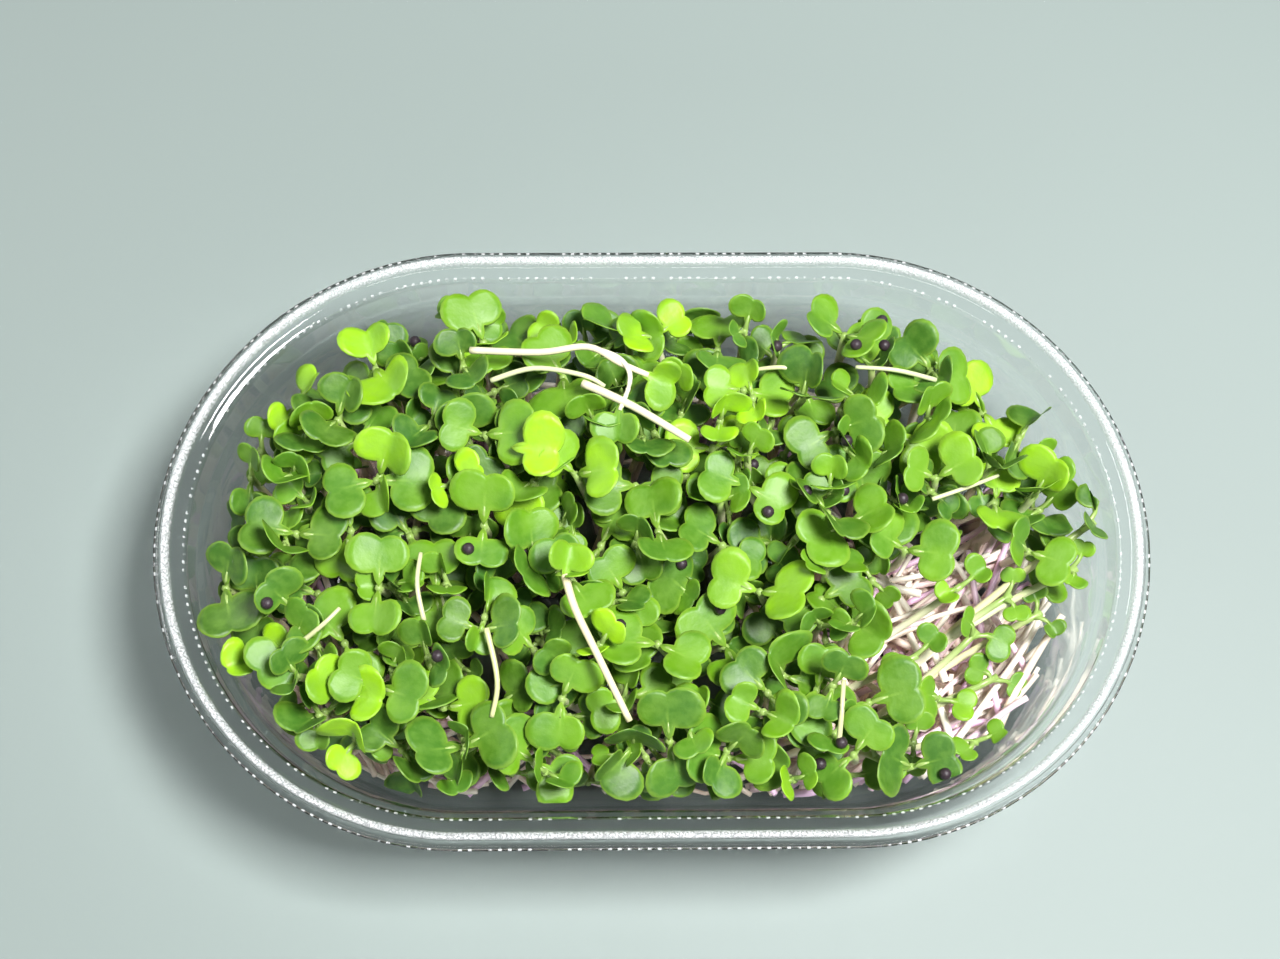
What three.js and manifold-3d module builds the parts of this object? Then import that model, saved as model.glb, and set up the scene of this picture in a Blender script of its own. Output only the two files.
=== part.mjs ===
// A clear stadium-shaped food tray filled with cut kale microgreens.
// Millimetres, +Z up, long side along X. The origin is under the tray's middle, on the surface it stands on.
// The tray is one thin thermoformed shell. The greens are seedlings: a pale stem with two notched
// seed leaves. Neighbouring seedlings grow together at their roots into small bunches, and bare
// stems lie on the tray's floor at the front right.
import * as THREE from "three";
import { mergeVertices } from "three/addons/utils/BufferGeometryUtils.js";
import Module from "manifold-3d";

const wasm = await Module();
wasm.setup();

// Tray
const SPINE = 34.5; // half the straight side
const BEAD_RADIUS = 55.5; // end radius along the top of the rim bead
const TRAY_HEIGHT = 42;
const WALL = 0.7;
const LIP_OUT = 2.4;
const LIP_DROP = 2.8;
const SEAT_DROP = 2.2;
const FLOOR_RADIUS = 38;
const PANEL_RADIUS = 30;
const PANEL_LIFT = 1.2;
const STEP_HEIGHT = 32; // a shoulder in the wall
const TRAY_SIDES = 32;

// Seedlings
const SEED = 20260;
const SITE_PITCH = 11.3; // spacing of the stem tops on a triangular grid
const HEAP_RADIUS = 44; // reach of the stem tops from the spine
const LEVEL_DROP = 4.6; // each grid point stands on one of three levels
const HEAP_TOP = 46;
const HEAP_EDGE_DROP = 8;
const LEAF_WIDTH = [9.8, 13.6];
const LEAF_LENGTH = 0.66; // share of its width
const PETIOLE = 2.4;
const LEAF_THICKNESS = 0.9;
const STEM_RADIUS = 0.85;
const STEM_STEPS = 3;
const BOW = 0.65; // how far along the stem its bend stands
const CLEARANCE = 0.3;
const FINE = 0.06; // slivers left by the cuts are merged below this size
const TRIES = 14;
const HULL_RADIUS = 1.15;
const HULL_EVERY = 6;

// The front right corner, where the heap is thin and bare stems show
const BARE = { x: 66, y: -24, radius: 27, drop: 10, fade: 26 };
const STEM_FANS = [
  { x: 29, y: -36.5, z: 3.3, from: -1, to: 60, count: 11, reach: 52 },
  { x: 43, y: 1, z: 6.8, from: -80, to: -8, count: 9, reach: 41 },
  { x: 68, y: -24, z: 10.2, from: 100, to: 186, count: 7, reach: 32 },
];
// Small-leaved seedlings that lean over the bare stems, three to a root
const LEANING_WIDTH = [5.4, 8.4];
const LEANING_BOW = 0.45;
const LEANING = [
  { root: [45, -25, 14], tops: [[83, 3, 37], [80, -5, 33], [68, -9, 29]] },
  { root: [38, -33, 13.5], tops: [[62, -15, 25], [66, -23, 21], [55, -27, 21]] },
  { root: [38, -37, 13], tops: [[49, -36, 24], [61, -36, 23], [41, -40, 29]] },
];

// A dip in the middle of the heap
const DIP = { x: 14, y: -14, reach: 15, depth: 8 };

const COLOURS = { leaf: 0x4fa32c, stem: 0xe9ddc2, tray: 0xdfe8e6 };

// The generator is exact in whole numbers, so it draws the same seedlings everywhere.
function randomFrom(seed) {
  let state = seed;
  return (low = 0, high = 1) => {
    state = (1664525 * state + 1013904223) % 4294967296;
    return low + ((high - low) * state) / 4294967296;
  };
}

const add = (a, b, k = 1) => [a[0] + k * b[0], a[1] + k * b[1], a[2] + k * b[2]];
const dot = (a, b) => a[0] * b[0] + a[1] * b[1] + a[2] * b[2];
const radians = (degrees) => (degrees * Math.PI) / 180;

// Distance from the tray's spine, in plan.
function fromSpine(x, y) {
  return Math.hypot(Math.max(Math.abs(x) - SPINE, 0), y);
}

// The clear radius inside the wall, a little short of it.
function roomAt(z) {
  const up = (z - WALL - 7.5) / (TRAY_HEIGHT - SEAT_DROP - 10.5 - WALL);
  if (up < 0) return FLOOR_RADIUS + 5.4 + 0.9 * Math.max(-1.6, (z - WALL - 7.5) / 2.2);
  return FLOOR_RADIUS + 6 + Math.min(1, up) * (BEAD_RADIUS - FLOOR_RADIUS - 12.1);
}

function heapHeight(x, y) {
  const edge = fromSpine(x, y) / HEAP_RADIUS;
  const right = Math.max(0, x - 30) / 50;
  const bare = Math.hypot(x - BARE.x, y - BARE.y) / BARE.fade;
  const dip = Math.hypot(x - DIP.x, y - DIP.y) / DIP.reach;
  const hollow = BARE.drop * Math.exp(-bare * bare) + DIP.depth * Math.exp(-dip * dip);
  return HEAP_TOP - HEAP_EDGE_DROP * edge ** 3 - 4 * right - hollow;
}

// A leaf's own axes: along its midrib, across it, and its upper face's normal.
function leafFrame(azimuth, rise, roll) {
  const heading = [Math.cos(azimuth), Math.sin(azimuth), 0];
  const across = [-Math.sin(azimuth), Math.cos(azimuth), 0];
  const along = add([0, 0, Math.sin(rise)], heading, Math.cos(rise));
  const up = add([0, 0, Math.cos(rise)], heading, -Math.sin(rise));
  return {
    along,
    across: add(add([0, 0, 0], across, Math.cos(roll)), up, Math.sin(roll)),
    up: add(add([0, 0, 0], up, Math.cos(roll)), across, -Math.sin(roll)),
  };
}

// Each leaf stands in for two round discs, one for each lobe, when seedlings are kept apart.
function lobesOf(top, leaf) {
  const middle = add(top, leaf.along, PETIOLE + 0.5 * LEAF_LENGTH * leaf.width);
  return [-1, 1].map((side) => ({
    centre: add(middle, leaf.across, side * 0.24 * leaf.width),
    radius: 0.26 * leaf.width,
    up: leaf.up,
    across: leaf.across,
    along: leaf.along,
  }));
}

function rimPoints(lobe) {
  const points = [lobe.centre];
  for (let k = 0; k < 6; k += 1) {
    const turn = (k * Math.PI) / 3;
    const out = add(lobe.centre, lobe.across, lobe.radius * Math.cos(turn));
    points.push(add(out, lobe.along, lobe.radius * Math.sin(turn)));
  }
  return points;
}

function pointInDisc(point, lobe, margin) {
  const away = add(point, lobe.centre, -1);
  const height = dot(away, lobe.up);
  if (Math.abs(height) > margin) return false;
  return dot(away, away) - height * height < (lobe.radius + 0.4) ** 2;
}

// A stem is a quadratic curve from its cut end, bowed sideways, up to the leaves.
function stemPoint(sprout, t) {
  const a = (1 - t) * (1 - t);
  const b = 2 * t * (1 - t);
  return [0, 1, 2].map((k) => a * sprout.root[k] + b * sprout.bow[k] + t * t * sprout.top[k]);
}

function drawSprout(random, site) {
  const azimuth = random(0, 2 * Math.PI);
  const lean = random(-3, 3);
  const past = Math.max(0, Math.abs(site.top[0]) - SPINE) * Math.sign(site.top[0]);
  const outward = Math.atan2(site.top[1], past);
  const edge = fromSpine(site.top[0], site.top[1]) / HEAP_RADIUS;
  const sprout = { ...site, leaves: [] };
  sprout.bow = [
    (1 - site.bow) * site.root[0] + site.bow * site.top[0] + lean,
    (1 - site.bow) * site.root[1] + site.bow * site.top[1] - lean,
    0.45 * site.root[2] + 0.55 * site.top[2],
  ];
  const width = random(site.width[0], site.width[1]);
  for (const side of [0, 1]) {
    const heading = azimuth + side * Math.PI + random(-0.35, 0.35);
    const falling = 0.5 * edge * edge * Math.cos(heading - outward);
    const rise = random(radians(-8), radians(42)) - falling;
    const roll = random(radians(-24), radians(24));
    const leaf = { width: width * (side ? random(0.78, 0.98) : 1), ...leafFrame(heading, rise, roll) };
    leaf.fold = random(0.04, 0.3);
    leaf.curl = random(0.02, 0.22);
    sprout.leaves.push(leaf);
  }
  sprout.lobes = sprout.leaves.flatMap((leaf) => lobesOf(sprout.top, leaf));
  sprout.stem = [0.2, 0.4, 0.6, 0.8, 0.92].map((t) => stemPoint(sprout, t));
  return sprout;
}

function conflicts(sprout, others) {
  let count = 0;
  const own = sprout.lobes.map(rimPoints);
  for (const p of own.flat()) {
    if (fromSpine(p[0], p[1]) > roomAt(p[2])) count += 5;
  }
  for (const other of others) {
    if (dot(add(other.top, sprout.top, -1), add(other.top, sprout.top, -1)) > 900) continue;
    other.lobes.forEach((lobe, k) => {
      const theirs = rimPoints(lobe);
      sprout.lobes.forEach((mine, m) => {
        if (own[m].some((p) => pointInDisc(p, lobe, 1.1))) count += 1;
        if (theirs.some((p) => pointInDisc(p, mine, 1.1))) count += 1;
      });
      if (sprout.stem.some((p) => pointInDisc(p, lobe, 1.8))) count += 1;
    });
    for (const mine of sprout.lobes) {
      if (other.stem.some((p) => pointInDisc(p, mine, 1.8))) count += 1;
    }
    if (other.bunch !== sprout.bunch) {
      for (const p of sprout.stem) {
        if (other.stem.some((q) => dot(add(p, q, -1), add(p, q, -1)) < 5)) count += 1;
      }
    }
  }
  return count;
}

// Stem tops stand on a triangular grid. Three neighbours, one on each level, share a root and make a bunch.
function layOut() {
  const random = randomFrom(SEED);
  const sites = [];
  let bunch = 0;
  const rowPitch = (SITE_PITCH * Math.sqrt(3)) / 2;
  for (let j = -7; j <= 7; j += 1) {
    for (let i = -14; i <= 14; i += 1) {
      if ((((i - j) % 3) + 3) % 3 !== 0) continue;
      const corners = [[i, j], [i + 1, j], [i, j + 1]];
      const tops = corners.map(([p, q]) => [SITE_PITCH * (p + q / 2) + 1.5, rowPitch * q - 1]);
      const middle = [0, 1].map((k) => (tops[0][k] + tops[1][k] + tops[2][k]) / 3);
      if (fromSpine(middle[0], middle[1]) > HEAP_RADIUS) continue;
      if (Math.hypot(middle[0] - BARE.x, middle[1] - BARE.y) < BARE.radius) continue;
      const pull = Math.min(1, 33 / Math.max(1, fromSpine(middle[0], middle[1])));
      const rootX = middle[0] * (Math.abs(middle[0]) > SPINE ? 0.5 + 0.5 * pull : 1) + random(-1.5, 1.5);
      const root = [rootX, middle[1] * pull + random(-1.5, 1.5), 2.6];
      tops.forEach(([x, y], level) => {
        const px = x + random(-1.8, 1.8);
        const py = y + random(-1.8, 1.8);
        const reach = Math.min(1, (HEAP_RADIUS + 1.5) / fromSpine(px, py));
        const spineX = Math.max(-SPINE, Math.min(SPINE, px));
        const top = [spineX + (px - spineX) * reach, py * reach, 0];
        top[2] = heapHeight(top[0], top[1]) - LEVEL_DROP * level + random(-1.5, 1.5);
        sites.push({ bunch, level, root, top, width: LEAF_WIDTH, bow: BOW });
      });
      bunch += 1;
    }
  }
  for (const { root, tops } of LEANING) {
    tops.forEach((top, level) => {
      sites.push({ bunch, level, root, top, width: LEANING_WIDTH, bow: LEANING_BOW });
    });
    bunch += 1;
  }
  const placed = [];
  for (const level of [0, 1, 2]) {
    for (const site of sites.filter((s) => s.level === level)) {
      let best = null;
      for (let k = 0; k < TRIES; k += 1) {
        const sprout = drawSprout(random, site);
        sprout.clashes = conflicts(sprout, placed);
        if (!best || sprout.clashes < best.clashes) best = sprout;
        if (best.clashes === 0) break;
      }
      placed.push(best);
    }
  }
  return placed;
}

// A kale seed leaf's outline: two round lobes with a notch between them and a wedge down to the stem.
// Points run round the right half from the notch to the stem, across and along, in shares of the width.
const HALF_OUTLINE = [
  [0, 0.5],
  [0.24, 0.66],
  [0.46, 0.52],
  [0.46, 0.2],
  [0.18, -0.01],
];

function leafSolid(top, leaf, grow = 0) {
  const right = HALF_OUTLINE.map(([u, v]) => [u, v]);
  const left = right.slice(1).reverse().map(([u, v]) => [-u, v]);
  const outline = [...right, [0, -0.32], ...left];
  const w = leaf.width + 2 * grow;
  const place = ([u, v], lift) => {
    const height = leaf.fold * Math.abs(u) * w - leaf.curl * Math.max(0, v) ** 2 * w + lift;
    const base = add(top, leaf.along, PETIOLE + v * w);
    return add(add(base, leaf.across, u * w), leaf.up, height);
  };
  const rim = outline.map((point) => place(point, 0));
  const half = LEAF_THICKNESS / 2 + grow;
  const points = [...rim, place([0, 0.26], half), place([0, 0.26], -half)];
  const faces = [];
  rim.forEach((_, k) => {
    const next = (k + 1) % rim.length;
    faces.push([next, k, rim.length], [k, next, rim.length + 1]);
  });
  return solidFrom(points, faces);
}

function tubeSolid(path, radii, sides = 3) {
  const points = [];
  const faces = [];
  path.forEach((centre, k) => {
    const before = path[Math.max(0, k - 1)];
    const after = path[Math.min(path.length - 1, k + 1)];
    const ahead = new THREE.Vector3(...add(after, before, -1)).normalize();
    const side = new THREE.Vector3(0.3, 0.95, 0.1).cross(ahead).normalize();
    const third = ahead.clone().cross(side);
    for (let m = 0; m < sides; m += 1) {
      const turn = (2 * Math.PI * m) / sides;
      const out = side.clone().multiplyScalar(Math.cos(turn)).addScaledVector(third, Math.sin(turn));
      points.push(add(centre, out.toArray(), radii[k]));
    }
  });
  for (let k = 0; k + 1 < path.length; k += 1) {
    for (let m = 0; m < sides; m += 1) {
      const a = k * sides + m;
      const b = k * sides + ((m + 1) % sides);
      faces.push([a, b, b + sides], [a, b + sides, a + sides]);
    }
  }
  for (let m = 1; m + 1 < sides; m += 1) {
    const last = (path.length - 1) * sides;
    faces.push([0, m + 1, m], [last, last + m, last + m + 1]);
  }
  return solidFrom(points, faces);
}

function solidFrom(points, faces) {
  const mesh = new wasm.Mesh({
    numProp: 3,
    vertProperties: new Float32Array(points.flat()),
    triVerts: new Uint32Array(faces.flat()),
  });
  const solid = new wasm.Manifold(mesh);
  if (solid.volume() > 0) return solid;
  return solidFrom(points, faces.map(([a, b, c]) => [a, c, b]));
}

function solidOfGeometry(geometry) {
  const bare = geometry.clone();
  bare.deleteAttribute("normal");
  bare.deleteAttribute("uv");
  const merged = mergeVertices(bare, 1e-3);
  return new wasm.Manifold(
    new wasm.Mesh({
      numProp: 3,
      vertProperties: new Float32Array(merged.attributes.position.array),
      triVerts: new Uint32Array(merged.index.array),
    }),
  );
}

function geometryOf(solid) {
  const mesh = solid.getMesh();
  const geometry = new THREE.BufferGeometry();
  geometry.setAttribute("position", new THREE.BufferAttribute(new Float32Array(mesh.vertProperties), 3));
  geometry.setIndex(new THREE.BufferAttribute(new Uint32Array(mesh.triVerts), 1));
  geometry.computeVertexNormals();
  return geometry;
}

// Seedling solids, and the same grown a little, which trim a neighbour back where the two would touch.
function sproutSolids(sprout, grow = 0) {
  const path = [];
  const radii = [];
  for (let k = 0; k <= STEM_STEPS; k += 1) {
    const t = k / STEM_STEPS;
    path.push(stemPoint(sprout, t));
    radii.push(STEM_RADIUS * (1.1 - 0.15 * t) + grow);
  }
  const parts = [tubeSolid(path, radii)];
  for (const leaf of sprout.leaves) parts.push(leafSolid(sprout.top, leaf, grow));
  if (sprout.hull) {
    const bead = new THREE.IcosahedronGeometry(HULL_RADIUS + grow, 0);
    bead.translate(...sprout.hull);
    parts.push(solidOfGeometry(bead));
  }
  return parts;
}

function largest(solid) {
  const pieces = solid.decompose();
  return pieces.reduce((a, b) => (a.volume() > b.volume() ? a : b));
}

function boxesTouch(a, b) {
  const p = a.boundingBox();
  const q = b.boundingBox();
  return [0, 1, 2].every((k) => p.min[k] < q.max[k] + CLEARANCE && q.min[k] < p.max[k] + CLEARANCE);
}

// A bowl turned round its profile, then pulled apart along X into a stadium.
function stadiumSolid(profile) {
  const points = profile.map(([r, z]) => new THREE.Vector2(r, z));
  const geometry = new THREE.LatheGeometry(points, TRAY_SIDES, Math.PI / TRAY_SIDES);
  geometry.rotateX(Math.PI / 2);
  const place = geometry.attributes.position;
  for (let k = 0; k < place.count; k += 1) {
    const x = place.getX(k);
    place.setX(k, x + SPINE * (Math.abs(x) < 1e-4 ? 0 : Math.sign(x)));
  }
  return solidOfGeometry(geometry);
}

function traySolid() {
  const inside = [
    [0, WALL + PANEL_LIFT],
    [PANEL_RADIUS - 1.5, WALL + PANEL_LIFT],
    [PANEL_RADIUS, WALL],
    [FLOOR_RADIUS, WALL],
    [FLOOR_RADIUS + 3.5, WALL + 1],
    [FLOOR_RADIUS + 6, WALL + 3.6],
    [FLOOR_RADIUS + 7.2, WALL + 7.5],
    [BEAD_RADIUS - 6.9, STEP_HEIGHT - 4],
    [BEAD_RADIUS - 6, STEP_HEIGHT],
    [BEAD_RADIUS - 4.8, STEP_HEIGHT + 1],
    [BEAD_RADIUS - 3.9, TRAY_HEIGHT - SEAT_DROP],
    [BEAD_RADIUS - 1.8, TRAY_HEIGHT - SEAT_DROP + 0.3],
    [BEAD_RADIUS - 1, TRAY_HEIGHT - 0.4],
    [BEAD_RADIUS, TRAY_HEIGHT],
    [BEAD_RADIUS + 1, TRAY_HEIGHT - 0.4],
    [BEAD_RADIUS + LIP_OUT, TRAY_HEIGHT - LIP_DROP],
  ];
  const outside = [
    [0, PANEL_LIFT],
    [PANEL_RADIUS - 1.2, PANEL_LIFT],
    [PANEL_RADIUS + 0.4, 0],
    [FLOOR_RADIUS + 0.3, 0],
    [FLOOR_RADIUS + 4, WALL + 0.3],
    [FLOOR_RADIUS + 6.7, WALL + 3.2],
    [FLOOR_RADIUS + 7.9, WALL + 7.4],
    [BEAD_RADIUS - 6.2, STEP_HEIGHT - 4],
    [BEAD_RADIUS - 5.2, STEP_HEIGHT - 0.3],
    [BEAD_RADIUS - 4.1, STEP_HEIGHT + 0.7],
    [BEAD_RADIUS - 3.2, TRAY_HEIGHT - SEAT_DROP - 0.7],
    [BEAD_RADIUS - 1.2, TRAY_HEIGHT - SEAT_DROP - 0.4],
    [BEAD_RADIUS, TRAY_HEIGHT - 1],
    [BEAD_RADIUS + LIP_OUT - 0.9, TRAY_HEIGHT - LIP_DROP],
  ];
  return stadiumSolid([...outside, ...inside.reverse()]);
}

// The space inside the tray, a little short of its wall, and all that is above it.
function roomSolid() {
  const heights = [WALL + PANEL_LIFT + 0.2, WALL + 4.5, WALL + 8, TRAY_HEIGHT - SEAT_DROP - 3, TRAY_HEIGHT + 30];
  const wall = heights.map((z) => [roomAt(z) + 0.4, z]);
  return stadiumSolid([[0, heights[0]], ...wall, [0, TRAY_HEIGHT + 30]]);
}

function fanSolid(fan, index, grow = 0) {
  const random = randomFrom(SEED + 11 * (index + 1));
  const stems = [];
  for (let k = 0; k < fan.count; k += 1) {
    const turn = radians(fan.from + ((fan.to - fan.from) * (k + random(0.2, 0.8))) / fan.count);
    const bend = random(-4, 4);
    const room = roomAt(fan.z - 1);
    let reach = fan.reach * random(0.8, 1);
    while (fromSpine(fan.x + reach * Math.cos(turn), fan.y + reach * Math.sin(turn)) > room) reach -= 0.5;
    const path = [0, 0.5, 1].map((t) => [
      fan.x + reach * t * Math.cos(turn) - bend * t * (1 - t) * Math.sin(turn) - 2 * Math.cos(turn),
      fan.y + reach * t * Math.sin(turn) + bend * t * (1 - t) * Math.cos(turn) - 2 * Math.sin(turn),
      fan.z + 0.4 * Math.sin(3 * t + k),
    ]);
    stems.push(tubeSolid(path, path.map(() => 0.95 + grow)));
  }
  return largest(wasm.Manifold.union(stems)).asOriginal().simplify(FINE);
}

function addMesh(group, name, geometry, material) {
  const mesh = new THREE.Mesh(geometry, material);
  mesh.name = name;
  group.add(mesh);
}

const materials = {
  tray: new THREE.MeshStandardMaterial({ color: COLOURS.tray, roughness: 0.08, transparent: true, opacity: 0.35 }),
  leaf: new THREE.MeshStandardMaterial({ color: COLOURS.leaf, roughness: 0.5 }),
  stem: new THREE.MeshStandardMaterial({ color: COLOURS.stem, roughness: 0.45 }),
};

const model = new THREE.Group();
addMesh(model, "tray", geometryOf(traySolid()), materials.tray);

const sprouts = layOut();
const bunchCount = 1 + Math.max(...sprouts.map((s) => s.bunch));
sprouts.forEach((sprout, k) => {
  if (k % HULL_EVERY !== 2) return;
  const lobe = sprout.lobes[k % 4];
  sprout.hull = add(lobe.centre, lobe.up, 0.8);
});

const finished = STEM_FANS.map((fan, k) => ({ solid: fanSolid(fan, k), fat: fanSolid(fan, k, CLEARANCE) }));
finished.forEach(({ solid }, k) => addMesh(model, `lying_stems_${k + 1}`, geometryOf(solid), materials.stem));

const room = roomSolid();
for (let b = 0; b < bunchCount; b += 1) {
  const mine = sprouts.filter((s) => s.bunch === b);
  let solid = wasm.Manifold.union(mine.flatMap((s) => sproutSolids(s)));
  for (const other of finished) {
    if (!boxesTouch(solid, other.solid)) continue;
    if (solid.intersect(other.fat).isEmpty()) continue;
    solid = solid.subtract(other.fat);
  }
  if (!solid.subtract(room).isEmpty()) solid = solid.intersect(room);
  solid = largest(largest(solid).asOriginal().simplify(FINE));
  const fat = wasm.Manifold.union(mine.flatMap((s) => sproutSolids(s, CLEARANCE)));
  finished.push({ solid, fat });
  addMesh(model, `bunch_${String(b + 1).padStart(2, "0")}`, geometryOf(solid), materials.leaf);
}

export default model;
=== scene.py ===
import math
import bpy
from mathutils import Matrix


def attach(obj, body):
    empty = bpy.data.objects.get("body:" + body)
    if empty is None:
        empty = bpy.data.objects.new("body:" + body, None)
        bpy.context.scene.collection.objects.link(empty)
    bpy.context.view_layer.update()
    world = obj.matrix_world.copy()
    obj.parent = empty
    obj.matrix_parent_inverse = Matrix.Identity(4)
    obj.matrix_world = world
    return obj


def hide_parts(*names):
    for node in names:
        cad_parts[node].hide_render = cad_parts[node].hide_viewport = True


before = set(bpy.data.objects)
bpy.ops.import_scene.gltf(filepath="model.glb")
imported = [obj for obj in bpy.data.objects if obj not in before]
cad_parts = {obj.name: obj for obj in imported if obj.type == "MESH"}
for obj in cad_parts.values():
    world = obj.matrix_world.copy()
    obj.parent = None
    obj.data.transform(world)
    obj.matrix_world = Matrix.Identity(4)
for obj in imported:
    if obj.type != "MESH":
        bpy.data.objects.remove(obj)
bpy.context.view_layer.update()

from types import SimpleNamespace

import bmesh
import bpy
import numpy as np
from mathutils import Matrix, Vector

MM = 0.001

# The tray, in millimetres, as in the model's source
SPINE = 34.5
BEAD_RADIUS = 55.5
TRAY_HEIGHT = 42
WALL = 0.7
LIP_OUT = 2.4
SEAT_DROP = 2.2
FLOOR_RADIUS = 38
PANEL_RADIUS = 30
PANEL_LIFT = 1.2
SHEET = 0.5
TRAY_STEPS = 96
TICKS = 3.6  # tick marks on the rim, in radians a millimetre

# The heap of seedlings, as in the model's source
SEED = 20260
SITE_PITCH = 11.3
HEAP_RADIUS = 44
LEVEL_DROP = 4.6
HEAP_TOP = 46
HEAP_EDGE_DROP = 8
LEAF_WIDTH = (9.8, 13.6)
LEAF_TILT = (-8, 42, 24)  # least and most rise, and the roll to either side
LEAF_LENGTH = 0.66
PETIOLE = 2.4
STEM_RADIUS = 0.85
TRIES = 14
HULL_RADIUS = 1.15
HULL_EVERY = 6
BARE = (66, -24, 27)
BOW = 0.65
LEANING_WIDTH = (5.4, 8.4)
LEANING_BOW = 0.45
LEANING = (
    ((45, -25, 14), ((83, 3, 37), (80, -5, 33), (68, -9, 29))),
    ((38, -33, 13.5), ((62, -15, 25), (66, -23, 21), (55, -27, 21))),
    ((38, -37, 13), ((49, -36, 24), (61, -36, 23), (41, -40, 29))),
)
BARE_DROP, BARE_FADE = 10, 26
DIP = (14, -14)
DIP_REACH, DIP_DEPTH = 15, 8
NEAR = 30  # seedlings further apart than this can't cross
LEAF_GAP, STEM_GAP = 1.1, 1.8

# Finer seedlings between them
FILL_SEED = 411
FILL_PITCH = 6.4
FILL_TRIES = 12
FILL_TILT = (-20, 74, 50)
FILL_WIDTH = (6.8, 13.0)
FILL_DEPTHS = (1, 6, 12)
THIN = (-5, 0, 17)  # where the heap's top is thinner: centre and radius
LEAF_SHEET = 0.42
TONE_SEED = 77
# Painted shade: seedlings on these levels (the lowest bunch level and the two deeper fill layers)
# have their tone scaled by this factor, so they turn towards the deep green where they lie under the
# others
PAINTED_SHADE_LEVELS, PAINTED_SHADE_SCALE = (2, 4, 5), 0.4
HUSK_LEVELS = (3, 9)

# The leaf's outline, for a leaf of width 1
LOBE_SIDE, LOBE_AHEAD, LOBE_RADIUS = 0.2, 0.035, 0.3
LEAF_CENTRE = 0.29

# Loose stems on the floor, leaning seedlings at the front right and pale stems along the left wall
STEM_FANS = (
    dict(x=29, y=-36.5, z=3.3, start=-1, end=60, count=11, reach=52),
    dict(x=43, y=1, z=6.8, start=-80, end=-8, count=9, reach=41),
    dict(x=68, y=-24, z=10.2, start=100, end=186, count=7, reach=32),
)
FAN_TONE_SEED = 5
FAN_RADII = (0.95, 0.92, 0.9, 0.88, 0.86, 0.8)
BED_SEED = 909
STEM_BED_COUNT = 200
FLOOR_STEM_COUNT = 420
LOOSE_STEPS = 8
LONG_SEED = 3131
LONG_WIDTH = (5.0, 8.6)
LEANING_TOPS = (
    (84, -1, 38), (74, -12, 27), (70, -30, 18), (50, -20, 26), (56, -40, 26), (46, -31, 25),
    (58, -8, 32), (64, -32, 17),
)
WALL_STEMS = (
    ((-79, -1, 33), (-77, -15, 11), 1.5), ((-78, -12, 20), (-66, -30, 4), 1),
    ((-77, -13, 17), (-62, -33, 5), -1), ((-79, -11, 22), (-68, -27, 5), 2),
    ((-76, 4, 30), (-78, -12, 14), -2),
)

# Single stems and leaves on top of the heap
TOP_SEED = 64
TOP_STEMS = (
    (((-34, 33.5, 48), (-20.9, 31.8, 51), (-12, 32, 53), (-6.2, 28.8, 53), (-1, 27, 51.5)), 0.72),
    (((-12, 32, 53), (-6.4, 29.6, 53.4), (-4.3, 25.8, 53), (-6.2, 19.9, 52)), 0.56),
    (((-13, 25.6, 51), (-4, 20.6, 52.4), (6.4, 14.1, 52)), 0.85),
    (((-30, 27, 49), (-22, 28.6, 51), (-13, 27, 51.5), (-9, 25.4, 50)), 0.55),
    (((-16.1, -11.2, 52), (-14.3, -17.3, 52), (-10, -26.1, 50.5), (-4.8, -36.3, 47)), 0.78),
    (((-30, -20, 49), (-28, -29, 47.5), (-29, -35, 45)), 0.55),
)
TOP_LEAVES = (
    ((-16, -10.6, 52.3), 8.6, 78, 18, 20, 0.9, 0.98),
    ((-16.4, -11, 52), 8, 12, 10, -30, 0.7, 0.9),
    ((-6.3, 19.6, 52), 9.5, 265, -10, 15, 0.5, 0.8),
    ((-1, 27, 51.5), 9.5, -15, -14, 30, 0.7, 0.86),
    ((-24, 13, 51), 12, -8, 8, 10, 0.5, 1.0),
)
TOP_SPOTS = ((-60, -18), (24, 30), (58, 8), (33, -34), (-42, -12), (46, 30))

# The camera
FOCAL_PIXELS = 1800
PHOTO_WIDTH = 1280
VIEW_ELEVATION = 71.2
VIEW_YAW = 3.1
VIEW_ROLL = 2.7
VIEW_TARGET = (-2.5, 9.95, TRAY_HEIGHT)
VIEW_DISTANCE = 334.1

# The studio: each light's place and size in metres, and its power in watts
LIGHTS = {
    "key": ((0.24, -0.04, 0.72), (0.22, 0.18), 10.9),
    "side": ((-0.6, 0.2, 0.4), (0.5, 0.12), 1.6),
    "front": ((-0.1, -0.6, 0.4), (0.7, 0.1), 0.9),
}
LIGHT_TARGET = (0, 0, 0.03)
FLOOR_COLOUR = (0.25, 0.3, 0.285, 1)
SKY_COLOUR = (0.95, 0.98, 1, 1)
SKY_STRENGTH = 0.1


# Layout

class Draw:
    """Random numbers from whole-number steps, the same ones that the model's source draws."""

    def __init__(self, seed):
        self.state = seed

    def __call__(self, low=0.0, high=1.0):
        self.state = (1664525 * self.state + 1013904223) % 4294967296
        return low + (high - low) * self.state / 4294967296


def from_spine(x, y):
    return math.hypot(max(abs(x) - SPINE, 0), y)


def spine_x(x):
    """The x of the spine's point that is nearest."""
    return max(-SPINE, min(SPINE, x))


def room_at(z):
    """How far from the spine the tray leaves room at this height."""
    up = (z - WALL - 7.5) / (TRAY_HEIGHT - SEAT_DROP - 10.5 - WALL)
    if up < 0:
        return FLOOR_RADIUS + 5.4 + 0.9 * max(-1.6, (z - WALL - 7.5) / 2.2)
    return FLOOR_RADIUS + 6 + min(1, up) * (BEAD_RADIUS - FLOOR_RADIUS - 12.1)


def press_in(place, room):
    """The place, drawn back towards the spine where it is further out than the room."""
    x, y, z = place
    out = from_spine(x, y)
    if out <= room:
        return place
    middle = spine_x(x)
    return (middle + (x - middle) * room / out, y * room / out, z)


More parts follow.
